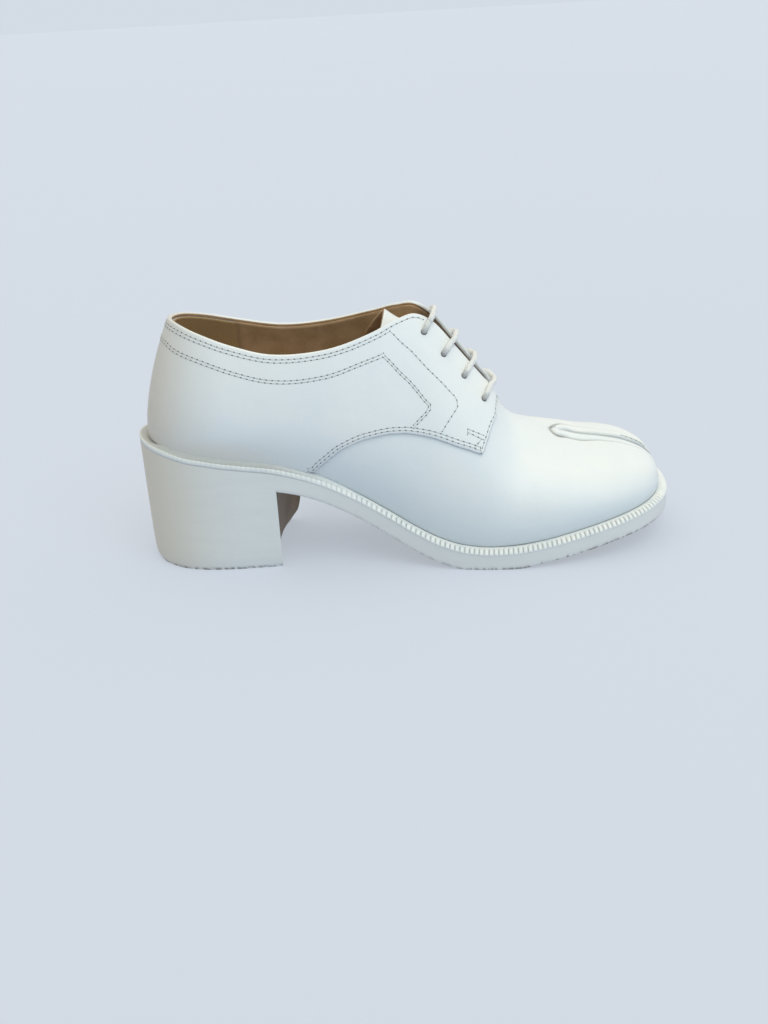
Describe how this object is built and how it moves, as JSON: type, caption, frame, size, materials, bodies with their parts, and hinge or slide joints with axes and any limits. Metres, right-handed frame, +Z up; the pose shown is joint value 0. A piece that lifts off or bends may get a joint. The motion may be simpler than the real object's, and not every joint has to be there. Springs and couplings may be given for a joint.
{
  "type": "split toe derby shoe",
  "caption": "Right derby shoe in white leather with a split toe, open lace facing, notched welt, curved sole and high block heel.",
  "frame": {"origin": "centre of the bounding box's bottom face, on the floor the shoe stands on", "axes": "+X from heel to toe, +Y from the lateral side to the medial side, +Z up"},
  "size_m": [0.2624, 0.094, 0.1222],
  "materials": {
    "white_leather": "satin",
    "welt_leather": "satin",
    "painted_sole": "satin",
    "tan_lining": "matte",
    "lace_cotton": "matte"
  },
  "bodies": {
    "root": {"upper": "white_leather", "quarter_lateral": "white_leather", "quarter_medial": "white_leather", "tongue": "white_leather", "lace_bar_1": "lace_cotton", "lace_bar_2": "lace_cotton", "lace_bar_3": "lace_cotton", "lace_bar_4": "lace_cotton", "insole": "tan_lining", "welt": "welt_leather", "outsole": "painted_sole", "heel": "painted_sole"}
  },
  "joints": []
}
